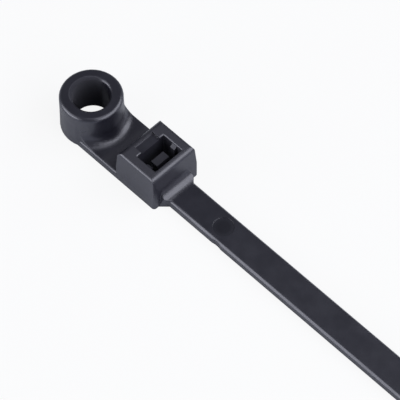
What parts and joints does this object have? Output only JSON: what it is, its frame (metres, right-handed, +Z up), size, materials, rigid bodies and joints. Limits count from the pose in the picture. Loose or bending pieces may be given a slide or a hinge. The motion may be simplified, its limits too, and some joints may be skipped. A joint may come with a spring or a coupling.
{
  "type": "screw mount cable tie",
  "caption": "Black nylon cable tie with a serrated strap, a locking head with a flexible pawl and a screw eyelet for fixing it to a panel.",
  "frame": {"origin": "on the axis of the screw hole, at the eyelet's flat underside", "axes": "+X along the strap from the eyelet towards the tail's tip, +Y across the strap, +Z up along the screw hole, away from the panel"},
  "size_m": [0.1502, 0.01, 0.0072],
  "materials": {
    "nylon": "satin moulded black nylon"
  },
  "bodies": {
    "root": {"cable_tie": "nylon"}
  },
  "joints": []
}
